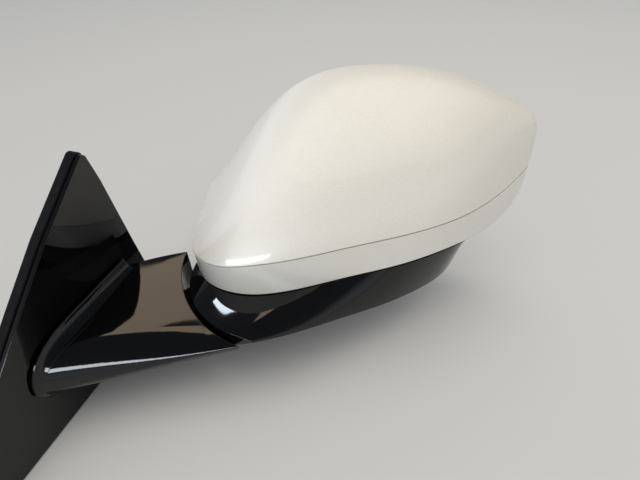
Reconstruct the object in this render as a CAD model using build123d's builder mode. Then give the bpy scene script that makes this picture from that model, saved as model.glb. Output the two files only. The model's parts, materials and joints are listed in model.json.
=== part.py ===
import os
from math import cos, sin, radians
from build123d import *

os.makedirs("parts", exist_ok=True)

# overall sizes, millimetres
head_length = 258.0      # along the glass
head_depth = 88.0        # from the datum line back to the rim
head_rise = 154.0        # from the sill up to the rim's top
head_turn = 10.0         # the glass looks this many degrees towards the driver
wall = 2.8               # moulded wall
parting = 0.9            # parting line between the cap pieces
fit_gap = 0.3            # seat between pieces that do not move
fold_x = 118.0           # fold axis
fold_y = 92.0
arc_radius = 71.0        # middle of the arc between arm and head
arc_gap = 3.6            # clear ring there
sail_inner = 8.0         # door side of the triangular panel, along X
sail_face = 12.0         # its outer face
sail_long = 222.0        # the panel along the door
sail_tall = 158.6
gasket = 2.0             # rubber under the arm's foot
floor_top = -22.0        # arm floor under the head
floor_thick = 5.0
spine_high = 10.0        # beam on the arm's floor
relief_top = 26.0        # underside of the head where it passes over the arm
disc_bottom = -17.0      # underside of the head
post_radius = 14.0
post_gap = 0.4
hub_wall = 5.0
hub_top = 22.0
hub_flange = 9.0
glass_face = 82.0        # where the glass looks out
glass_gap = 6.5          # clear ring round the glass holder
bezel_inset = 0.6        # bezel behind the rim's edge
bezel_deep = 6.5
bezel_least = 1.5        # the bezel keeps this much beside the arm's room
bulkhead_v = 49.0        # rear face of the plate that carries the actuator
bulkhead_thick = 3.0
case_long = 78.0
case_high = 66.0
holder_thick = 3.0
pane_thick = 2.0
pivot_u = 58.0           # middle of the glass
pivot_w = 60.0
pivot_v = 67.0
ring_outer = 17.0
ring_inner = 12.0
pin_radius = 2.5
pin_gap = 0.35
bore_radius = 9.0        # harness way through the bracket
bolt_circle = 30.0       # radius of the three fixing bosses
bolt_hole = 6.0          # diameter

disc_radius = arc_radius - 0.5 * arc_gap
hub_radius = post_radius + post_gap + hub_wall
mid_u = pivot_u
origin_x = fold_x - 6.0
origin_y = fold_y - 17.0
turn_c = cos(radians(head_turn))
turn_s = sin(radians(head_turn))
along_dir = Vector(turn_c, turn_s, 0)
back_dir = Vector(-turn_s, turn_c, 0)
ku = head_length / 258.0
kv = head_depth / 88.0
kw = head_rise / 154.0
rim = head_depth


def head_at(u, v, w):
    return Vector(origin_x, origin_y, 0) + along_dir * u + back_dir * v + Vector(0, 0, w)


def across(u):
    return Plane(origin=head_at(u, 0, 0), x_dir=back_dir, z_dir=along_dir)


def facing(v):
    # X runs inboard to outboard, Y up, the normal points to the front
    return Plane(origin=head_at(0, v, 0), x_dir=along_dir, z_dir=-back_dir)


def level(z):
    return Plane(origin=(fold_x, fold_y, z), x_dir=(1, 0, 0), z_dir=(0, 0, 1))


# the cap's sections, as measured on a head of 258 by 88 by 154:
# along, rim top, crease back and up, band foot back and up, rim foot
form = [
    (-67, 31.5, 62, 22.5, 62, 14, 12),
    (-62.9, 36, 33, 23, 34, 9, 9),
    (-51, 50.7, 0.9, 31, 2.5, 8.5, 7),
    (-31, 77, -15.8, 36, -13.7, 11, 2),
    (-3.3, 109.2, -21.1, 43.5, -19.3, 14, -4),
    (28, 130.2, -17.6, 50, -15.6, 20, -9),
    (62.3, 138, -6.3, 54.5, -4.9, 26, -10.5),
    (98, 138, 8, 57, 8.5, 30, -6.5),
    (132, 131.5, 26, 60, 27, 34, 0.5),
    (158, 121.5, 50, 62, 50, 34, 11),
    (176, 110.5, 72, 66, 72, 38, 26),
    (184, 97, 82, 71, 82, 52, 42),
]
rows = [(u * ku, wt * kw, vc * kv, wc * kw, vb * kv, wb * kw, wr * kw)
        for u, wt, vc, wc, vb, wb, wr in form]

# the lower housing's sections: along, its top edge under the cap back and up,
# swell back and up, lip back and up, keel up, rim foot
keel = [
    (-64, 30, 7.5, -62, 7.0, -62, 3, -17, 3),
    (-45, -3, 7.8, -63, 7.0, -63, 3, -17, -1),
    (-24, -15, 11.0, -61, 9.5, -61, 4.5, -17, -5),
    (-2, -19, 13.5, -57, 12.0, -56, 6, -17, -9),
    (19.2, -16.8, 17.7, -48.5, 12.5, -47.2, 5.5, -17, -12),
    (42, -11.8, 22.0, -35, 13, -34, 4, -17, -14),
    (66, -3.6, 26.0, -18, 14, -17.8, 1.5, -17, -14.5),
    (90, 5.0, 28.4, -1.5, 14, -0.8, -1.5, -16, -12.5),
    (112, 14.8, 31.2, 15, 13, 18.2, -4.5, -13.5, -8.5),
    (131.2, 26.5, 33.4, 31, 11, 38, -5, -10, -4),
    (141, 34.5, 33.6, 47, 10, 55.5, -3.5, -6.5, -0.5),
    (148.5, 47, 31, 70, 19, 76, 13, 11, 12),
]
stations = [(u * ku, vt * kv, wt * kw, vs * kv, ws * kw, vl * kv, wl * kw, wk * kw, wr * kw)
            for u, vt, wt, vs, ws, vl, wl, wk, wr in keel]


def toward(start, end, part):
    return (start[0] + part * (end[0] - start[0]), start[1] + part * (end[1] - start[1]))


def cap_ring(row, inset, reach):
    u, wt, vc, wc, vb, wb, wr = row
    top = (rim + reach, wt - inset)
    crease = (vc + inset, wc + 0.25 * inset)
    band = (vb + inset, wb + 0.25 * inset)
    foot = (rim + reach, wr + inset)
    run = rim - vc
    pull_top = (rim - 0.42 * run, wt - inset - 0.03 * run)
    pull_low = (crease[0] + 0.10 * run, crease[1] + 0.42 * (wt - wc))
    station = mid_u + (u - mid_u) * (1 - 1.75 * inset / (0.5 * head_length))
    with BuildSketch(across(station)) as face:
        with BuildLine():
            Bezier(top, pull_top, pull_low, crease)
            Line(crease, band)
            Line(band, foot)
            Line(foot, top)
        make_face()
    return face.sketch


def keel_ring(row, inset, reach):
    u, vt, wt, vs, ws, vl, wl, wk, wr = row
    top = (vt + inset, wt - 0.9 * inset)
    swell = (vs + inset, ws - 0.9 * inset)
    lip = (vl + 1.3 * inset, wl - 0.2 * inset)
    low = 0.4 * wl + 0.6 * wk
    under = (vl + 0.85 * (wl - low) + 1.2 * inset, low + 0.5 * inset)
    sill = (min(under[0] + 8.0, rim - 4.0) + 0.4 * inset, wk + inset)
    heel = (min(max(52.0, sill[0] + 6.0), rim - 1.5), wk + inset)
    foot = (rim + reach, wr + inset)
    roof = (rim + reach, wr + 14.0)
    lift = (vt + inset + 3.0, wt + 2.5 * inset)
    station = mid_u + (u - mid_u) * (1 - 1.75 * inset / (0.5 * head_length))
    with BuildSketch(across(station)) as face:
        with BuildLine():
            Bezier(top, toward(top, swell, 0.6), toward(lip, swell, 0.6), lip)
            Bezier(lip, toward(lip, under, 0.6), toward(sill, under, 0.6), sill)
            Line(sill, heel)
            Line(heel, foot)
            Line(foot, roof)
            Line(roof, lift)
            Line(lift, top)
        make_face()
    return face.sketch


def hull(ring, inset, reach, group):
    with BuildPart(mode=Mode.PRIVATE) as form:
        for row in group:
            add(ring(row, inset, reach))
        loft()
    return form.part


def relief(grow):
    # room over the arm while the head folds back
    far = 0.7 * head_length
    begin = 131.0 - 0.9 * grow
    turns = [begin, 160, 192, 224, 256, 288]
    sector = [(far * cos(radians(a)), far * sin(radians(a))) for a in turns]
    with BuildPart(mode=Mode.PRIVATE) as form:
        with BuildSketch(level(disc_bottom - wall)):
            Polygon((0, 0), *sector, align=None)
            Circle(disc_radius - grow, mode=Mode.SUBTRACT)
        extrude(amount=relief_top + grow - disc_bottom + wall)
    return form.part


outer = hull(cap_ring, 0.0, 0.0, rows)
boat = hull(keel_ring, 0.0, 4.0, stations)
cap_cavity = hull(cap_ring, wall, 6.0, rows[2:])
boat_cavity = hull(keel_ring, wall, 6.0, stations)
head_form = outer - relief(0.0)


def rail(back_col, up_col):
    # the loft's own edge along one corner of the sections, in the side view
    ends = [head_at(row[0], row[back_col], row[up_col]) for row in (rows[0], rows[-1])]
    for edge in outer.edges():
        first = edge @ 0
        last = edge @ 1
        if (first - ends[1]).length < 0.1 and (last - ends[0]).length < 0.1:
            first, last = last, first
            steps = [edge @ (1 - i / 30) for i in range(31)]
        elif (first - ends[0]).length < 0.1 and (last - ends[1]).length < 0.1:
            steps = [edge @ (i / 30) for i in range(31)]
        else:
            continue
        base = head_at(0, 0, 0)
        line = []
        for p in steps:
            u = (p - base).dot(along_dir)
            if not line or u > line[-1][0] + 0.4:
                line.append((u, p.Z))
        return line
    raise ValueError("no such edge on the hull")


crease_line = rail(2, 3)
band_line = rail(4, 5)


def zone(low, high):
    # everything between two lines of the side view, as a slab through the head
    far = 1.2 * head_length
    with BuildPart(mode=Mode.PRIVATE) as slab:
        with BuildSketch(facing(-rim)):
            with BuildLine():
                ends = []
                for line, lift in (low, high):
                    if line is None:
                        start = (-far, lift)
                        stop = (far, lift)
                        Line(start, stop)
                    else:
                        pts = [(u, w + lift) for u, w in line]
                        start = (-far, pts[0][1])
                        stop = (far, pts[-1][1])
                        Line(start, pts[0])
                        Spline(pts)
                        Line(pts[-1], stop)
                    ends.append((start, stop))
                Line(ends[0][0], ends[1][0])
                Line(ends[0][1], ends[1][1])
            make_face()
        extrude(amount=-2.4 * rim)
    return slab.part


half = 0.5 * parting
upper_zone = zone((crease_line, half), (None, 1.5 * head_rise))
band_zone = zone((band_line, half), (crease_line, -half))
lower_zone = zone((None, -0.5 * head_rise), (band_line, -half))

# what fills the shell with a seat's gap all round
gap = wall + fit_gap
cap_core = hull(cap_ring, gap, 6.0, rows[2:])
keel_core = hull(keel_ring, gap, 6.0, stations) & lower_zone
liner = (cap_core - relief(gap)) + (keel_core - relief(gap))

# painted cap
with BuildPart() as cap_upper:
    add(head_form)
    add(upper_zone, mode=Mode.INTERSECT)
    add(cap_cavity, mode=Mode.SUBTRACT)
cap_upper.part.label = "cap_upper"
export_step(cap_upper.part, "parts/cap_upper.step")

# painted band under the crease
with BuildPart() as cap_band:
    add(head_form)
    add(band_zone, mode=Mode.INTERSECT)
    add(cap_cavity, mode=Mode.SUBTRACT)
cap_band.part.label = "cap_band"
export_step(cap_band.part, "parts/cap_band.step")

# black lower housing, round where it turns in the arm, with a wall up inside the cap there
with BuildPart() as lower_housing:
    add((cap_core & relief(wall)) - relief(0.0))
    add((outer & lower_zone) - relief(0.0))
    add((boat & lower_zone) - relief(0.0))
    add((cap_cavity + boat_cavity) - relief(wall), mode=Mode.SUBTRACT)
    with BuildSketch(facing(rim)):
        Rectangle(3 * head_length, 3 * head_rise)
    extrude(amount=-2 * disc_radius, mode=Mode.SUBTRACT)
    with BuildSketch(level(disc_bottom + wall)):
        Circle(hub_radius + hub_flange)
    extrude(amount=4 * wall, mode=Mode.SUBTRACT)
    with BuildSketch(level(disc_bottom - wall)):
        Circle(post_radius + post_gap)
    extrude(amount=4 * wall, mode=Mode.SUBTRACT)
housing_body = lower_housing.part.solids().sort_by(SortBy.VOLUME)[-1]
lower_housing.part = Part() + housing_body
lower_housing.part.label = "lower_housing"
export_step(lower_housing.part, "parts/lower_housing.step")

glass_points = [(-26, 48), (-16, 67.5), (5, 92.5), (29, 110), (60, 119), (95, 119), (129, 111.5),
                (150, 99), (158.5, 78), (156, 50), (146, 27), (125, 12), (84, 4), (40, 3), (8.5, 9),
                (-13, 25)]
glass_points = [(u * ku, w * kw) for u, w in glass_points]


def pane(v, thick, grow):
    # the glass outline, moved outwards by grow
    outline = []
    count = len(glass_points)
    for i in range(count):
        before = Vector(*glass_points[i - 1])
        after = Vector(*glass_points[(i + 1) % count])
        run = (after - before).normalized()
        outline.append(Vector(*glass_points[i]) + Vector(-run.Y, run.X) * grow)
    with BuildPart(mode=Mode.PRIVATE) as plate:
        with BuildSketch(facing(v)):
            with BuildLine():
                Spline(*outline, periodic=True)
            make_face()
        extrude(amount=thick)
    return plate.part


# rim frame round the glass
with BuildPart() as rear_bezel:
    add(liner)
    with BuildSketch(facing(rim - bezel_inset)):
        Rectangle(3 * head_length, 3 * head_rise)
    extrude(amount=bezel_deep, mode=Mode.INTERSECT)
    add(pane(rim, 3 * bezel_deep, glass_gap) - relief(gap + bezel_least), mode=Mode.SUBTRACT)
rear_bezel.part.label = "rear_bezel"
export_step(rear_bezel.part, "parts/rear_bezel.step")

# bulkhead that carries the actuator
with BuildPart() as inner_carrier:
    add(liner)
    with BuildSketch(facing(bulkhead_v)):
        Rectangle(3 * head_length, 3 * head_rise)
    extrude(amount=bulkhead_thick, mode=Mode.INTERSECT)
inner_carrier.part.label = "inner_carrier"
export_step(inner_carrier.part, "parts/inner_carrier.step")

case_front = pivot_v - 9.0
yoke_reach = ring_outer + 4.0
with BuildPart() as actuator_case:
    with BuildSketch(facing(case_front)):
        with Locations((mid_u, pivot_w)):
            RectangleRounded(case_long, case_high, 8)
    extrude(amount=case_front - bulkhead_v)
    with BuildSketch(facing(pivot_v + 5)):
        with Locations((mid_u, pivot_w + yoke_reach + 4), (mid_u, pivot_w - yoke_reach - 4)):
            Rectangle(12, 8)
    extrude(amount=pivot_v + 5 - case_front)
    with BuildSketch(Plane(origin=head_at(mid_u, pivot_v, pivot_w - 40), x_dir=along_dir, z_dir=(0, 0, 1))):
        Circle(pin_radius + pin_gap)
    extrude(amount=80, mode=Mode.SUBTRACT)
actuator_case.part.label = "actuator_case"
export_step(actuator_case.part, "parts/actuator_case.step")

# cardan ring between actuator and glass
with BuildPart() as gimbal_ring:
    with BuildSketch(facing(pivot_v + 3)):
        with Locations((mid_u, pivot_w)):
            Circle(ring_outer)
            Circle(ring_inner, mode=Mode.SUBTRACT)
    extrude(amount=6)
    low = ring_outer - 1.5
    for side in (1, -1):
        with BuildSketch(Plane(origin=head_at(mid_u, pivot_v, pivot_w + side * low), x_dir=along_dir,
                               z_dir=(0, 0, side))):
            Circle(pin_radius)
        extrude(amount=11)
        with BuildSketch(Plane(origin=head_at(mid_u + side * low, pivot_v, pivot_w), x_dir=back_dir,
                               z_dir=along_dir * side)):
            Circle(pin_radius)
        extrude(amount=11)
gimbal_ring.part.label = "gimbal_ring"
export_step(gimbal_ring.part, "parts/gimbal_ring.step")

holder_back = glass_face - pane_thick - holder_thick
with BuildPart() as glass_holder:
    add(pane(glass_face - pane_thick, holder_thick, 0))
    with BuildSketch(facing(holder_back + 0.5)):
        with Locations((mid_u + yoke_reach + 4, pivot_w), (mid_u - yoke_reach - 4, pivot_w)):
            Rectangle(8, 12)
    extrude(amount=holder_back + 0.5 - pivot_v + 5)
    with BuildSketch(Plane(origin=head_at(mid_u - 40, pivot_v, pivot_w), x_dir=back_dir, z_dir=along_dir)):
        Circle(pin_radius + pin_gap)
    extrude(amount=80, mode=Mode.SUBTRACT)
glass_holder.part.label = "glass_holder"
export_step(glass_holder.part, "parts/glass_holder.step")

with BuildPart() as mirror_glass:
    add(pane(glass_face, pane_thick, -1.5))
mirror_glass.part.label = "mirror_glass"
export_step(mirror_glass.part, "parts/mirror_glass.step")

# sleeve of the head round the pivot post
with BuildPart() as pivot_hub:
    with BuildSketch(level(disc_bottom + wall)):
        Circle(hub_radius + hub_flange)
    extrude(amount=4)
    with BuildSketch(level(disc_bottom + wall)):
        Circle(hub_radius)
    extrude(amount=hub_top - disc_bottom - wall)
    with BuildSketch(level(disc_bottom - 5)):
        Circle(post_radius + post_gap)
    extrude(amount=80, mode=Mode.SUBTRACT)
pivot_hub.part.label = "pivot_hub"
export_step(pivot_hub.part, "parts/pivot_hub.step")

# arm, by distance from the door: leading edge back and up, shoulder back and up, rear edge back and up
foot_x = sail_face + gasket
reach_x = (fold_x - foot_x) / 104.0
reach_y = fold_y / 92.0
arm_rows = [
    (0.0, -48.0, -1.0, -20.0, 19.5, 48.0, 20.5),
    (31.0, -27.0, -1.0, 0.0, 15.5, 76.0, 18.0),
    (71.0, -1.0, 1.5, 22.0, 9.0, 98.0, 15.0),
    (108.0, 21.0, 4.0, 36.0, 6.0, 112.0, 10.0),
]
hollow = arc_radius + 0.5 * arc_gap


def side(x):
    return Plane(origin=(x, 0, 0), x_dir=(0, 1, 0), z_dir=(1, 0, 0))


def arm_body(inset, arc):
    with BuildPart(mode=Mode.PRIVATE) as form:
        for x, ye, ze, yt, zt, yr, zr in arm_rows:
            ye = ye * reach_y + inset
            yt = yt * reach_y
            yr = yr * reach_y - inset
            zt = zt - inset
            zr = zr - inset
            low = floor_top - 0.5 * inset
            with BuildSketch(side(foot_x + x * reach_x)):
                with BuildLine():
                    Bezier((ye, ze), (ye, ze + 0.6 * (zt - ze)), (ye + 0.4 * (yt - ye), zt), (yt, zt))
                    Line((yt, zt), (yr, zr))
                    Line((yr, zr), (yr, low))
                    Line((yr, low), (ye + 34, low))
                    Bezier((ye + 34, low), (ye + 16, low + 1), (ye + 1, ze - 7), (ye, ze))
                make_face()
        loft()
        with BuildSketch(level(floor_top - 5)):
            Circle(arc)
        extrude(amount=80, mode=Mode.SUBTRACT)
    return form.part


with BuildPart() as arm_upper:
    add(arm_body(0, hollow))
    add(arm_body(wall, hollow + wall), mode=Mode.SUBTRACT)
arm_upper.part.label = "arm_upper"
export_step(arm_upper.part, "parts/arm_upper.step")

# cast arm: floor, beam through the panel to the bracket, seat of the post
beam_low = -12.0
beam_high = 47.0
with BuildPart() as arm_lower:
    with BuildSketch(Plane.XY.offset(floor_top)):
        Polygon((sail_inner, beam_low), (foot_x, beam_low), (60, 16), (fold_x + 4, 56), (fold_x + 4, fold_y),
                (fold_x - 30, fold_y + 8), (44, 75.5), (foot_x, beam_high), (sail_inner, beam_high),
                align=None)
        with Locations((fold_x, fold_y)):
            Circle(32)
    extrude(amount=-floor_thick)
    with BuildSketch(Plane.XY.offset(floor_top)):
        Polygon((sail_inner, beam_low + 5), (48, 20), (55, 36), (38, 58), (sail_inner, beam_high - 8),
                align=None)
    extrude(amount=spine_high)
arm_lower.part.label = "arm_lower"
export_step(arm_lower.part, "parts/arm_lower.step")

with BuildPart() as pivot_post:
    with BuildSketch(level(floor_top)):
        Circle(post_radius + 8)
    extrude(amount=disc_bottom - floor_top - fit_gap)
    with BuildSketch(level(floor_top)):
        Circle(post_radius)
    extrude(amount=hub_top + post_gap - floor_top)
    with BuildSketch(level(hub_top + post_gap)):
        Circle(post_radius + 4)
    extrude(amount=5)
pivot_post.part.label = "pivot_post"
export_step(pivot_post.part, "parts/pivot_post.step")

# triangular panel on the door
share = [(52.7, 113.6), (57, 90), (63.6, 32), (68.3, -4), (72, -45), (-150, -45), (-30.2, 52.7), (3.7, 79.7)]
sail_points = [(y * sail_long / 222.0, z * sail_tall / 158.6) for y, z in share]


def sail_form(grow):
    with BuildSketch(Plane.XY, mode=Mode.PRIVATE) as face:
        Polygon(*sail_points, align=None)
        fillet(face.vertices(), 3)
        if grow != 0:
            offset(amount=grow, mode=Mode.REPLACE)
    return face.sketch


with BuildPart() as sail_panel:
    with BuildSketch(side(sail_inner)):
        add(sail_form(0))
        Circle(bore_radius, mode=Mode.SUBTRACT)
        with Locations((0.5 * (beam_low + beam_high), floor_top + 0.5 * (spine_high - floor_thick))):
            Rectangle(beam_high - beam_low + 2 * fit_gap, spine_high + floor_thick + 2 * fit_gap,
                      mode=Mode.SUBTRACT)
    extrude(amount=sail_face - sail_inner)
sail_panel.part.label = "sail_panel"
export_step(sail_panel.part, "parts/sail_panel.step")

gasket_low = floor_top - floor_thick - 2.5
with BuildPart() as foot_gasket:
    with BuildSketch(side(sail_face)):
        with BuildLine():
            Bezier((-49.5, -1), (-49.5, 12), (-38, 21.5), (-20, 21.5))
            Line((-20, 21.5), (49.5, 22.5))
            Line((49.5, 22.5), (49.5, gasket_low))
            Line((49.5, gasket_low), (-16, gasket_low))
            Bezier((-16, gasket_low), (-34, floor_top - 3), (-49.5, -9), (-49.5, -1))
        make_face()
        Circle(bore_radius, mode=Mode.SUBTRACT)
        with Locations((0.5 * (beam_low + beam_high), floor_top + 0.5 * (spine_high - floor_thick))):
            Rectangle(beam_high - beam_low + 2 * fit_gap, spine_high + floor_thick + 2 * fit_gap,
                      mode=Mode.SUBTRACT)
    extrude(amount=gasket)
foot_gasket.part.label = "foot_gasket"
export_step(foot_gasket.part, "parts/foot_gasket.step")

# rubber lip between panel and door
with BuildPart() as sail_seal:
    with BuildSketch(side(2.0)):
        add(sail_form(1.2))
        add(sail_form(-6), mode=Mode.SUBTRACT)
    extrude(amount=sail_inner - 2.0)
sail_seal.part.label = "sail_seal"
export_step(sail_seal.part, "parts/sail_seal.step")

# cast bracket against the door, its middle is the mount
with BuildPart() as mount_bracket:
    with BuildSketch(side(0)) as face:
        Polygon((44, 78), (54, 14), (58, -34), (-70, -34), (-14, 48), align=None)
        fillet(face.vertices(), 8)
        with PolarLocations(bolt_circle, 3, start_angle=90):
            Circle(0.5 * bolt_hole, mode=Mode.SUBTRACT)
        Circle(bore_radius, mode=Mode.SUBTRACT)
    extrude(amount=sail_inner)
mount_bracket.part.label = "mount_bracket"
export_step(mount_bracket.part, "parts/mount_bracket.step")
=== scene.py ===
import bpy
import bmesh
import json
from math import cos, sin, radians, pi
from mathutils import Matrix, Vector
from mathutils.geometry import interpolate_bezier

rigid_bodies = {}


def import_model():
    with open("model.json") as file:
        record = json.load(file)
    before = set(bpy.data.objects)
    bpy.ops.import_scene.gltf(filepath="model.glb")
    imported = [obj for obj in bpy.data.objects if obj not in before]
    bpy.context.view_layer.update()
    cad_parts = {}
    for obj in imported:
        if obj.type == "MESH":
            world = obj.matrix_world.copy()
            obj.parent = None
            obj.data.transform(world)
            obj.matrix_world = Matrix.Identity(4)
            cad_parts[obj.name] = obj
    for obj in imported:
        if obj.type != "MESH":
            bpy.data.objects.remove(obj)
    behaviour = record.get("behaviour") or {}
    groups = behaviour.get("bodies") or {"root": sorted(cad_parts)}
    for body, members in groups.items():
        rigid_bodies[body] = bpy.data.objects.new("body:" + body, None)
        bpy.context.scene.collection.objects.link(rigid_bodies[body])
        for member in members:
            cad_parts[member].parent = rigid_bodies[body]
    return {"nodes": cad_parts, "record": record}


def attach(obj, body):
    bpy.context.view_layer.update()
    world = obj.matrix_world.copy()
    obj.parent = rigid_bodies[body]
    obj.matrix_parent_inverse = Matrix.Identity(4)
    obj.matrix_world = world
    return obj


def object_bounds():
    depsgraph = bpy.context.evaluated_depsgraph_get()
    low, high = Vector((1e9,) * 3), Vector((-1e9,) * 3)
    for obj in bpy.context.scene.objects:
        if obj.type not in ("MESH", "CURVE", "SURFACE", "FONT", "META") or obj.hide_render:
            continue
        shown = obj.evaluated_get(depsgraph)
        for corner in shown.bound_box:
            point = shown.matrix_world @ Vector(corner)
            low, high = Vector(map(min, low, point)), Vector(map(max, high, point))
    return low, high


for item in list(bpy.data.objects):
    bpy.data.objects.remove(item, do_unlink=True)

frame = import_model()
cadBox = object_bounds()
print("frame loaded:", len(frame["nodes"]), "nodes")


def toLinear(hexCode):
    # sRGB hex to the linear colour that a socket takes
    channels = []
    for i in (0, 2, 4):
        c = int(hexCode[i:i + 2], 16) / 255
        channels.append(c / 12.92 if c <= 0.04045 else ((c + 0.055) / 1.055) ** 2.4)
    return (*channels, 1.0)


def addNode(owner, kind, settings=None, links=None, stops=None):
    # one node: its properties or socket values, what feeds it, and the stops of a ramp
    node = owner.node_tree.nodes.new(kind)
    for key, value in (settings or {}).items():
        if key in node.inputs:
            node.inputs[key].default_value = value
        else:
            setattr(node, key, value)
    for key, source in (links or {}).items():
        owner.node_tree.links.new(source, node.inputs[key])
    for i, (place, colour) in enumerate(stops or []):
        band = node.color_ramp.elements
        stop = band[i] if i < len(band) else band.new(place)
        stop.position = place
        stop.color = toLinear(colour)
    return node


def newMaterial(name):
    mat = bpy.data.materials.new(name)
    mat.use_nodes = True
    mat.node_tree.nodes.clear()
    return mat


def finishMaterial(mat, shader):
    out = addNode(mat, "ShaderNodeOutputMaterial")
    mat.node_tree.links.new(shader.outputs[0], out.inputs["Surface"])
    return mat


# ABS, primed and sprayed with pearl lacquer: creamy white, fine glitter, wet clear coat, faint orange peel
def pearlLacquer():
    look = {
        "base": "ECEAE2", "shade": "E5E3DA",
        "flakeMm": 0.6,             # mica is ten times finer: drawn this coarse so that it shows
        "peelMm": 6, "peelStrength": 0.05, "peelDeepMm": 0.2,
        "edgeMm": 0.5,              # paint rounds an edge by this much
        "rough": 0.38, "metallic": 0.08, "ior": 1.5, "coatRough": 0.07, "coatIor": 1.5,
    }
    mat = newMaterial("pearlLacquer")
    place = addNode(mat, "ShaderNodeTexCoord").outputs["Object"]
    flakes = addNode(mat, "ShaderNodeTexVoronoi", {"feature": "F1", "Scale": 1000 / look["flakeMm"]},
                     {"Vector": place})
    glitter = addNode(mat, "ShaderNodeSeparateColor", links={"Color": flakes.outputs["Color"]})
    tone = addNode(mat, "ShaderNodeValToRGB", links={"Fac": glitter.outputs[0]},
                   stops=[(0.0, look["shade"]), (1.0, look["base"])])
    peel = addNode(mat, "ShaderNodeTexNoise", {"Scale": 1000 / look["peelMm"], "Detail": 1.0},
                   {"Vector": place})
    soft = addNode(mat, "ShaderNodeBevel", {"samples": 6, "Radius": look["edgeMm"] / 1000})
    ripple = addNode(mat, "ShaderNodeBump",
                     {"Strength": look["peelStrength"], "Distance": look["peelDeepMm"] / 1000},
                     {"Height": peel.outputs[0], "Normal": soft.outputs[0]})
    shader = addNode(mat, "ShaderNodeBsdfPrincipled",
                     {"Roughness": look["rough"], "Metallic": look["metallic"], "IOR": look["ior"],
                      "Coat Weight": 1.0, "Coat Roughness": look["coatRough"], "Coat IOR": look["coatIor"]},
                     {"Base Color": tone.outputs[0], "Normal": soft.outputs[0],
                      "Coat Normal": ripple.outputs[0]})
    return finishMaterial(mat, shader)


# ABS moulded against polished steel: piano black, deep sharp reflections, a little dust and wipe marks
def glossBlack():
    look = {"base": "050506", "dust": "101012", "dustMm": 1.2, "wipeMm": 30, "edgeMm": 0.7,
            "roughLow": 0.03, "roughHigh": 0.07, "ior": 1.5}
    mat = newMaterial("glossBlackAbs")
    place = addNode(mat, "ShaderNodeTexCoord").outputs["Object"]
    dust = addNode(mat, "ShaderNodeTexNoise", {"Scale": 1000 / look["dustMm"], "Detail": 3.0},
                   {"Vector": place})
    tone = addNode(mat, "ShaderNodeValToRGB", links={"Fac": dust.outputs[0]},
                   stops=[(0.62, look["base"]), (0.8, look["dust"])])
    wipe = addNode(mat, "ShaderNodeTexNoise", {"Scale": 1000 / look["wipeMm"], "Detail": 4.0},
                   {"Vector": place})
    rough = addNode(mat, "ShaderNodeMapRange",
                    {"From Min": 0.3, "From Max": 0.7,
                     "To Min": look["roughLow"], "To Max": look["roughHigh"]},
                    {"Value": wipe.outputs[0]})
    soft = addNode(mat, "ShaderNodeBevel", {"samples": 6, "Radius": look["edgeMm"] / 1000})
    shader = addNode(mat, "ShaderNodeBsdfPrincipled", {"IOR": look["ior"]},
                     {"Base Color": tone.outputs[0], "Roughness": rough.outputs[0],
                      "Normal": soft.outputs[0]})
    return finishMaterial(mat, shader)


# ABS or glass filled polyamide moulded in spark eroded steel: fine pits, dull, slightly cloudy
def grainedPlastic(name, look):
    mat = newMaterial(name)
    place = addNode(mat, "ShaderNodeTexCoord").outputs["Object"]
    pits = addNode(mat, "ShaderNodeTexVoronoi", {"feature": "F1", "Scale": 1000 / look["pitMm"]},
                   {"Vector": place})
    cloud = addNode(mat, "ShaderNodeTexNoise", {"Scale": 1000 / look["cloudMm"], "Detail": 4.0},
                    {"Vector": place})
    tone = addNode(mat, "ShaderNodeValToRGB", links={"Fac": cloud.outputs[0]},
                   stops=[(0.35, look["base"]), (0.65, look["light"])])
    relief = addNode(mat, "ShaderNodeBump", {"Strength": 0.35, "Distance": look["pitDeepMm"] / 1000},
                     {"Height": pits.outputs["Distance"]})
    rough = addNode(mat, "ShaderNodeMapRange",
                    {"From Min": 0.3, "From Max": 0.7,
                     "To Min": look["roughLow"], "To Max": look["roughHigh"]},
                    {"Value": cloud.outputs[0]})
    shader = addNode(mat, "ShaderNodeBsdfPrincipled", {"IOR": 1.5},
                     {"Base Color": tone.outputs[0], "Roughness": rough.outputs[0],
                      "Normal": relief.outputs[0]})
    return finishMaterial(mat, shader)


# aluminium, die cast and left as cast: grey, slightly mottled, sandy
def castAlloy():
    look = {"base": "A6A8AC", "dark": "8B8D91", "mottleMm": 12, "sandMm": 1.2, "sandDeepMm": 0.2,
            "roughLow": 0.38, "roughHigh": 0.55}
    mat = newMaterial("castAlloy")
    place = addNode(mat, "ShaderNodeTexCoord").outputs["Object"]
    mottle = addNode(mat, "ShaderNodeTexNoise", {"Scale": 1000 / look["mottleMm"], "Detail": 5.0},
                     {"Vector": place})
    sand = addNode(mat, "ShaderNodeTexNoise", {"Scale": 1000 / look["sandMm"], "Detail": 2.0},
                   {"Vector": place})
    tone = addNode(mat, "ShaderNodeValToRGB", links={"Fac": mottle.outputs[0]},
                   stops=[(0.3, look["dark"]), (0.7, look["base"])])
    relief = addNode(mat, "ShaderNodeBump", {"Strength": 0.4, "Distance": look["sandDeepMm"] / 1000},
                     {"Height": sand.outputs[0]})
    rough = addNode(mat, "ShaderNodeMapRange",
                    {"From Min": 0.3, "From Max": 0.7,
                     "To Min": look["roughLow"], "To Max": look["roughHigh"]},
                    {"Value": mottle.outputs[0]})
    shader = addNode(mat, "ShaderNodeBsdfPrincipled", {"Metallic": 1.0},
                     {"Base Color": tone.outputs[0], "Roughness": rough.outputs[0],
                      "Normal": relief.outputs[0]})
    return finishMaterial(mat, shader)


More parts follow.
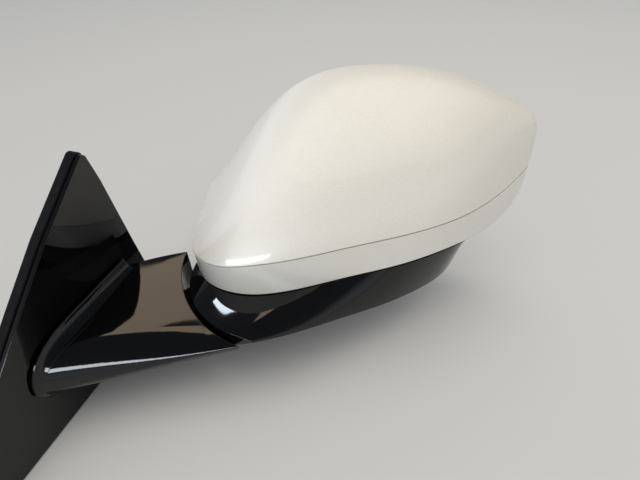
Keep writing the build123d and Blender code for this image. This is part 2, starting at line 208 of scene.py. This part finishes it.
# free cutting steel, turned on a lathe: fine rings round the axis of the fold
def turnedSteel():
    look = {"base": "B9BBBE", "dark": "9A9CA0", "ringMm": 0.8, "axis": (0.118, 0.092),
            "roughLow": 0.22, "roughHigh": 0.36}
    mat = newMaterial("turnedSteel")
    place = addNode(mat, "ShaderNodeTexCoord").outputs["Object"]
    centred = addNode(mat, "ShaderNodeMapping", {"Location": (-look["axis"][0], -look["axis"][1], 0.0)},
                      {"Vector": place})
    rings = addNode(mat, "ShaderNodeTexWave",
                    {"wave_type": "RINGS", "rings_direction": "Z", "Scale": 500 / look["ringMm"],
                     "Distortion": 0.3}, {"Vector": centred.outputs[0]})
    tone = addNode(mat, "ShaderNodeValToRGB", links={"Fac": rings.outputs["Fac"]},
                   stops=[(0.2, look["dark"]), (0.8, look["base"])])
    rough = addNode(mat, "ShaderNodeMapRange",
                    {"From Min": 0.0, "From Max": 1.0,
                     "To Min": look["roughLow"], "To Max": look["roughHigh"]},
                    {"Value": rings.outputs["Fac"]})
    shader = addNode(mat, "ShaderNodeBsdfPrincipled", {"Metallic": 1.0},
                     {"Base Color": tone.outputs[0], "Roughness": rough.outputs[0]})
    return finishMaterial(mat, shader)


# EPDM rubber, moulded: deep dull black with a chalky bloom
def mouldedRubber():
    look = {"base": "111113", "bloom": "1E1E20", "bloomMm": 11.11, "grainMm": 0.6, "grainDeepMm": 0.1,
            "rough": 0.72, "ior": 1.52}
    mat = newMaterial("mouldedRubber")
    place = addNode(mat, "ShaderNodeTexCoord").outputs["Object"]
    bloom = addNode(mat, "ShaderNodeTexNoise", {"Scale": 1000 / look["bloomMm"], "Detail": 5.0},
                    {"Vector": place})
    grain = addNode(mat, "ShaderNodeTexNoise", {"Scale": 1000 / look["grainMm"], "Detail": 2.0},
                    {"Vector": place})
    tone = addNode(mat, "ShaderNodeValToRGB", links={"Fac": bloom.outputs[0]},
                   stops=[(0.4, look["base"]), (0.7, look["bloom"])])
    relief = addNode(mat, "ShaderNodeBump", {"Strength": 0.3, "Distance": look["grainDeepMm"] / 1000},
                     {"Height": grain.outputs[0]})
    shader = addNode(mat, "ShaderNodeBsdfPrincipled", {"Roughness": look["rough"], "IOR": look["ior"]},
                     {"Base Color": tone.outputs[0], "Normal": relief.outputs[0]})
    return finishMaterial(mat, shader)


# float glass silvered with chromium: a cool clear mirror with a breath of dust
def silveredGlass():
    look = {"silver": "C6CDD2", "dustMm": 20, "roughLow": 0.015, "roughHigh": 0.05, "coatRough": 0.01,
            "coatIor": 1.5}
    mat = newMaterial("silveredGlass")
    place = addNode(mat, "ShaderNodeTexCoord").outputs["Object"]
    dust = addNode(mat, "ShaderNodeTexNoise", {"Scale": 1000 / look["dustMm"], "Detail": 6.0},
                   {"Vector": place})
    rough = addNode(mat, "ShaderNodeMapRange",
                    {"From Min": 0.4, "From Max": 0.8,
                     "To Min": look["roughLow"], "To Max": look["roughHigh"]},
                    {"Value": dust.outputs[0]})
    shader = addNode(mat, "ShaderNodeBsdfPrincipled",
                     {"Base Color": toLinear(look["silver"]), "Metallic": 1.0, "Coat Weight": 1.0,
                      "Coat Roughness": look["coatRough"], "Coat IOR": look["coatIor"]},
                     {"Roughness": rough.outputs[0]})
    return finishMaterial(mat, shader)


# the pits are drawn about five times coarser than an eroded grain, so that they show
rimGrain = {"base": "17171A", "light": "222225", "pitMm": 0.9, "pitDeepMm": 0.12, "cloudMm": 22.5,
            "roughLow": 0.53, "roughHigh": 0.65}
hubGrain = {"base": "1F1F22", "light": "2C2C30", "pitMm": 1.1, "pitDeepMm": 0.12, "cloudMm": 27.5,
            "roughLow": 0.45, "roughHigh": 0.57}
finishes = {
    "pearl_white": pearlLacquer(),
    "gloss_black": glossBlack(),
    "matt_black": grainedPlastic("grainedAbs", rimGrain),
    "hub_polymer": grainedPlastic("filledPolyamide", hubGrain),
    "cast_alloy": castAlloy(),
    "steel": turnedSteel(),
    "seal_rubber": mouldedRubber(),
    "mirror": silveredGlass(),
}
slotOf = {part["node"]: part["material_slot"] for part in frame["record"]["subparts"]}
for node in frame["nodes"]:
    for place in bpy.data.objects[node].material_slots:
        place.material = finishes[slotOf[node]]
print("finishes set")


sharpFrom = 32      # degrees between two faces that show as an edge


def finishPiece(name, shape, body, slot):
    # a closed bmesh becomes a piece that rides on its body
    bmesh.ops.remove_doubles(shape, verts=shape.verts, dist=1e-6)
    bmesh.ops.recalc_face_normals(shape, faces=shape.faces)
    mesh = bpy.data.meshes.new(name)
    shape.to_mesh(mesh)
    shape.free()
    for face in mesh.polygons:
        face.use_smooth = True
    mesh.set_sharp_from_angle(angle=radians(sharpFrom))
    mesh.materials.append(finishes[slot])
    piece = bpy.data.objects.new(name, mesh)
    bpy.context.scene.collection.objects.link(piece)
    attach(piece, body)
    print("piece made:", name)


def drawLine(shape, points, closed):
    # edges from point to point, and back to the first where closed
    corners = [shape.verts.new(point) for point in points]
    return [shape.edges.new((corners[i - 1], corners[i])) for i in range(0 if closed else 1, len(corners))]


def turnProfile(shape, profile, centre, axis, steps, closed):
    # an outline of (along, radius), turned about an axis through centre; an open one ends on the axis
    side = axis.orthogonal().normalized()
    line = drawLine(shape, [centre + axis * along + side * radius for along, radius in profile], closed)
    bmesh.ops.spin(shape, geom=line, cent=centre, axis=axis, angle=2 * pi, steps=steps, use_merge=True)


# moulded flare where the arm meets the gasket, hollow like a fillet
def makeFootFlare():
    flare = {
        "face": 0.0141,                     # outer face of the gasket
        "high": 0.0085, "reach": 0.0095,    # how far it spreads on the gasket and along the arm
        "root": 0.0005,                     # thickness where the hollow comes closest to both
        "sink": 0.0015,                     # goes this far into the arm
        "nose": 0.3, "noseFrom": 3, "noseOver": 8,      # share of its size left round the front
        "fadeFrom": 13,                     # runs out from this section on, under the arm
        "leanLeast": 0.13, "leanFront": 0.72,           # how fast the arm's skin falls away from its foot
        "steps": 9,
        # (y, z) of the arm's foot: along the top, round the front edge, back underneath
        "top": ((0.0475, 0.0200), (0.030, 0.0200), (0.012, 0.0200), (-0.006, 0.0200), (-0.020, 0.0200)),
        "front": ((-0.020, 0.0198), (-0.0368, 0.0195), (-0.048, 0.0113), (-0.048, -0.001)), "frontPoints": 10,
        "under": ((-0.048, -0.001), (-0.047, -0.009), (-0.032, -0.0205), (-0.014, -0.022)), "underPoints": 8,
    }
    path = [Vector((0, y, z)) for y, z in flare["top"]]
    for curve, points in (("front", "frontPoints"), ("under", "underPoints")):
        path += interpolate_bezier(*[Vector((0, y, z)) for y, z in flare[curve]], flare[points])[1:]
    shape = bmesh.new()
    loops = []
    for i, place in enumerate(path):
        run = path[min(i + 1, len(path) - 1)] - path[max(i - 1, 0)]
        outward = Vector((0, run.z, -run.y)).normalized()
        lean = max(flare["leanLeast"], -flare["leanFront"] * outward.y)
        size = 1 - (1 - flare["nose"]) * min(1, max(0, (i - flare["noseFrom"]) / flare["noseOver"]))
        if i > flare["fadeFrom"]:
            size *= 1 - (i - flare["fadeFrom"]) / (len(path) + 1 - flare["fadeFrom"])
        onGasket = Vector((flare["face"], size * flare["high"], 0))
        hollow = Vector((flare["face"] + flare["root"], 0, 0))
        onArm = Vector((flare["face"] + size * flare["reach"], -lean * size * flare["reach"], 0))
        section = [onGasket * (1 - k) ** 2 + hollow * 2 * k * (1 - k) + onArm * k * k
                   for k in [j / flare["steps"] for j in range(flare["steps"] + 1)]]
        section += [onArm - Vector((0, flare["sink"], 0)), Vector((flare["face"], -flare["sink"], 0))]
        ring = [Vector((q.x, place.y, place.z)) + outward * q.y for q in section]
        loops.append(drawLine(shape, ring, True))
    for near, far in zip(loops, loops[1:]):
        bmesh.ops.bridge_loops(shape, edges=near + far)
    bmesh.ops.holes_fill(shape, edges=loops[0] + loops[-1], sides=0)
    finishPiece("footFlare", shape, "base", "gloss_black")


# black border printed on the mirror glass
def makeGlassBorder():
    border = {"width": 0.0022, "thick": 0.00012, "sink": 0.00002,
              "turn": 10}       # degrees by which the glass looks inwards, over the arm
    outward = Vector((-sin(radians(border["turn"])), cos(radians(border["turn"])), 0))
    shape = bmesh.new()
    shape.from_mesh(bpy.data.objects["mirror_glass"].data)
    bmesh.ops.remove_doubles(shape, verts=shape.verts, dist=1e-6)
    shape.normal_update()
    away = [face for face in shape.faces if face.normal.dot(outward) < 0.99]
    bmesh.ops.delete(shape, geom=away, context="FACES")
    bmesh.ops.dissolve_faces(shape, faces=shape.faces[:])
    inset = bmesh.ops.inset_region(shape, faces=shape.faces[:], thickness=border["width"],
                                   use_boundary=True, use_even_offset=True)
    ring = set(inset["faces"])
    bmesh.ops.delete(shape, geom=[face for face in shape.faces if face not in ring], context="FACES")
    bmesh.ops.translate(shape, verts=shape.verts, vec=-outward * border["sink"])
    grown = bmesh.ops.extrude_face_region(shape, geom=shape.faces[:])
    bmesh.ops.translate(shape, verts=[v for v in grown["geom"] if isinstance(v, bmesh.types.BMVert)],
                        vec=outward * border["thick"])
    finishPiece("glassBorder", shape, "glass", "gloss_black")


# threads in the bracket's three M6 holes
def makeInserts():
    thread = {"circle": 0.030, "angles": (90, 210, 330), "start": 0.0003, "root": 0.0028, "crest": 0.00248,
              "outer": 0.00296, "pitch": 0.001, "turns": 7, "steps": 28}
    profile = [(0.0, thread["outer"])]
    for i in range(thread["turns"]):
        profile += [(i * thread["pitch"], thread["root"]), ((i + 0.5) * thread["pitch"], thread["crest"])]
    profile += [(thread["turns"] * thread["pitch"], thread["root"]),
                (thread["turns"] * thread["pitch"], thread["outer"])]
    shape = bmesh.new()
    for angle in thread["angles"]:
        centre = Vector((thread["start"], thread["circle"] * cos(radians(angle)),
                         thread["circle"] * sin(radians(angle))))
        turnProfile(shape, profile, centre, Vector((1, 0, 0)), thread["steps"], True)
    finishPiece("threadedInserts", shape, "base", "steel")


# rubber grommet that lines the harness bore
def makeGrommet():
    lining = {
        "start": 0.0004, "steps": 40,
        # (along the bore, radius): a lip near the mouth, then a plain sleeve
        "profile": ((0.0, 0.0089), (0.0, 0.0072), (0.0006, 0.0067), (0.0016, 0.0064), (0.0026, 0.0067),
                    (0.0034, 0.0072), (0.0122, 0.0072), (0.0132, 0.0077), (0.0132, 0.0089)),
    }
    shape = bmesh.new()
    turnProfile(shape, lining["profile"], Vector((lining["start"], 0, 0)), Vector((1, 0, 0)),
                lining["steps"], True)
    finishPiece("boreGrommet", shape, "base", "seal_rubber")


down = Vector((0, 0, -1))
armFloor = -0.027       # underside of the arm


# three screws that hold the arm's floor, round heads with a six lobed recess
def makeArmScrews():
    screw = {
        "places": ((0.036, 0.016), (0.038, 0.058), (0.084, 0.050)),
        "radius": 0.0042, "high": 0.0024, "steps": 24,
        # (down, radius) from inside the floor to the middle of the head
        "profile": ((-0.0004, 0.0), (-0.0004, 0.0042), (0.00084, 0.0042), (0.0018, 0.00378),
                    (0.0024, 0.002856), (0.0024, 0.0)),
        "rim": 0.24, "lobe": 0.18, "draft": 0.02,       # of the recess, as shares of the radius
        "deep": 0.6,                                    # and of the height
    }
    shape = bmesh.new()
    side = down.orthogonal().normalized()
    for x, y in screw["places"]:
        centre = Vector((x, y, armFloor))
        turnProfile(shape, screw["profile"], centre, down, screw["steps"], False)
        bmesh.ops.remove_doubles(shape, verts=shape.verts, dist=1e-6)
        bmesh.ops.recalc_face_normals(shape, faces=shape.faces)
        crown = centre + down * screw["high"]
        # the flat top of the head
        top = [face for face in shape.faces
               if (face.calc_center_median() - crown).length < 0.6 * screw["radius"]]
        bmesh.ops.inset_region(shape, faces=top, thickness=screw["rim"] * screw["radius"], use_boundary=True)
        for vert in {vert for face in top for vert in face.verts}:
            arm = vert.co - crown
            if arm.length > 1e-6:
                vert.co = vert.co + arm * screw["lobe"] * cos(6 * arm.angle(side))
        bmesh.ops.inset_region(shape, faces=top, thickness=screw["draft"] * screw["radius"],
                               depth=-screw["deep"] * screw["high"], use_boundary=True)
    finishPiece("armScrews", shape, "base", "steel")


# dished plastic cover under the pivot
def makePivotCover():
    cover = {
        "place": (0.118, 0.092), "steps": 48,
        # (down, radius) from inside the floor over the rim to the middle of the dish
        "profile": ((-0.0003, 0.0), (-0.0003, 0.016), (0.00132, 0.016), (0.0022, 0.015), (0.0022, 0.01088),
                    (0.00121, 0.00992), (0.00121, 0.0)),
    }
    shape = bmesh.new()
    turnProfile(shape, cover["profile"], Vector((*cover["place"], armFloor)), down, cover["steps"], False)
    finishPiece("pivotCover", shape, "base", "matt_black")


makeFootFlare()
makeGlassBorder()
makeInserts()
makeGrommet()
makeArmScrews()
makePivotCover()

# studio: a round pale floor under the panel's foot
studio = {"floorColour": "D6D5D2", "floorRough": 0.9, "floorRadius": 9.0, "floorSides": 128,
          # colour of the room by height, as the sine of the elevation
          "room": [(0.0, "D2D5D8"), (0.25, "C4C8CC"), (0.52, "66696E"), (1.0, "585B60")]}
floorMaterial = newMaterial("studioFloor")
floorShader = addNode(floorMaterial, "ShaderNodeBsdfPrincipled",
                      {"Base Color": toLinear(studio["floorColour"]), "Roughness": studio["floorRough"],
                       "Specular IOR Level": 0.0})
finishMaterial(floorMaterial, floorShader)
shape = bmesh.new()
bmesh.ops.create_circle(shape, cap_ends=True, segments=studio["floorSides"], radius=studio["floorRadius"])
bmesh.ops.translate(shape, verts=shape.verts, vec=(0, 0, cadBox[0].z))
floorMesh = bpy.data.meshes.new("studio_floor")
shape.to_mesh(floorMesh)
shape.free()
floorMesh.materials.append(floorMaterial)
floor = bpy.data.objects.new("studio_floor", floorMesh)
bpy.context.scene.collection.objects.link(floor)

world = bpy.data.worlds.new("studio")
bpy.context.scene.world = world
world.use_nodes = True
direction = addNode(world, "ShaderNodeTexCoord").outputs["Generated"]
height = addNode(world, "ShaderNodeSeparateXYZ", links={"Vector": direction})
sky = addNode(world, "ShaderNodeValToRGB", links={"Fac": height.outputs["Z"]}, stops=studio["room"])
world.node_tree.links.new(sky.outputs[0], world.node_tree.nodes["Background"].inputs["Color"])

painted = [node for node in frame["nodes"] if slotOf[node] == "pearl_white"]
glossy = [node for node in frame["nodes"] if slotOf[node] == "gloss_black"] + ["footFlare"]
middle = (0.17, 0.1, 0.05)

# metres; radiance 1 looks as bright as plain white
# mirrored False keeps a lamp out of reflections, and a lamp with a list of pieces lights only those
lamps = {
    "overhead": {"place": (0.35, 0.1, 1.6), "aim": middle, "size": (1.7, 1.5), "radiance": 1.45,
                 "colour": "FFFAF2", "mirrored": False},
    "floorWash": {"place": (0.0, 0.0, 8.0), "aim": (0.0, 0.001, 0.0), "size": (40.0, 40.0), "radiance": 0.44,
                  "colour": "FFFFFF", "mirrored": False, "lights": ["studio_floor"]},
    "leftFill": {"place": (-1.3, -0.5, 1.0), "aim": middle, "size": (1.2, 1.0), "radiance": 2.9,
                 "colour": "EDF3FF", "mirrored": False, "lights": painted},
    "frontFill": {"place": (-0.4, -1.3, 0.5), "aim": middle, "size": (1.2, 0.8), "radiance": 1.0,
                  "colour": "F6F8FF", "mirrored": False, "lights": painted},
    "domeGlow": {"place": (0.45, 0.09, 0.62), "aim": (0.45, 0.09, 0.0), "size": (1.7, 0.82), "radiance": 0.5,
                 "colour": "FFEBCE", "shape": "ELLIPSE", "lights": painted},
    "creaseGlint": {"place": (-0.75, -1.5, 0.22), "aim": (0.1, 0.06, 0.05), "size": (1.7, 0.22),
                    "radiance": 7.5, "colour": "F4F8FF", "lights": painted},
    "armPanel": {"place": (-0.25, 0.42, 0.82), "aim": (0.06, 0.04, 0.02), "size": (0.22, 0.34),
                 "radiance": 3.0, "colour": "F3DABD", "lights": glossy},
    "housingGlint": {"place": (-0.553, 0.577, 0.862), "aim": (0.107, 0.047, 0.012), "size": (0.2, 0.12),
                     "radiance": 19.0, "colour": "EAF4FF", "lights": ["lower_housing"]},
    "frontStrip": {"place": (0.0, -1.4, 0.86), "aim": (0.1, 0.0, 0.02), "size": (1.8, 0.34),
                   "radiance": 13.0, "colour": "F0F6FF", "lights": glossy},
}
for name, lamp in lamps.items():
    light = bpy.data.lights.new(name, "AREA")
    light.shape = lamp.get("shape", "RECTANGLE")
    light.size, light.size_y = lamp["size"]
    area = light.size * light.size_y * (pi / 4 if light.shape == "ELLIPSE" else 1)
    light.energy = lamp["radiance"] * pi * area
    light.color = toLinear(lamp["colour"])[:3]
    holder = bpy.data.objects.new(name, light)
    holder.location = lamp["place"]
    holder.rotation_euler = (Vector(lamp["aim"]) - Vector(lamp["place"])).to_track_quat("-Z", "Y").to_euler()
    holder.visible_glossy = lamp.get("mirrored", True)
    holder.visible_camera = False
    if "lights" in lamp:
        receivers = bpy.data.collections.new(name + "Lights")
        for node in lamp["lights"]:
            receivers.objects.link(bpy.data.objects[node])
        holder.light_linking.receiver_collection = receivers
    bpy.context.scene.collection.objects.link(holder)

# the photograph's view: degrees, and millimetres of lens and sensor
view = {"place": (0.233, -0.128, 0.250), "heading": 20.5, "pitch": 41.13, "roll": -1.97, "lens": 25.31,
        "sensor": 36.0, "nearest": 0.01}
cameraData = bpy.data.cameras.new("camera")
cameraData.lens = view["lens"]
cameraData.sensor_width = view["sensor"]
cameraData.clip_start = view["nearest"]
camera = bpy.data.objects.new("camera", cameraData)
heading = radians(view["heading"])
pitch = radians(view["pitch"])
forward = Vector((-sin(heading) * cos(pitch), cos(heading) * cos(pitch), -sin(pitch)))
right = forward.cross(Vector((0, 0, 1))).normalized()
up = right.cross(forward)
turned = Matrix((right, up, -forward)).transposed() @ Matrix.Rotation(radians(view["roll"]), 3, "Z")
camera.matrix_world = Matrix.Translation(view["place"]) @ turned.to_4x4()
bpy.context.scene.collection.objects.link(camera)
bpy.context.scene.camera = camera
bpy.context.scene.view_settings.view_transform = "Standard"
print("studio set")
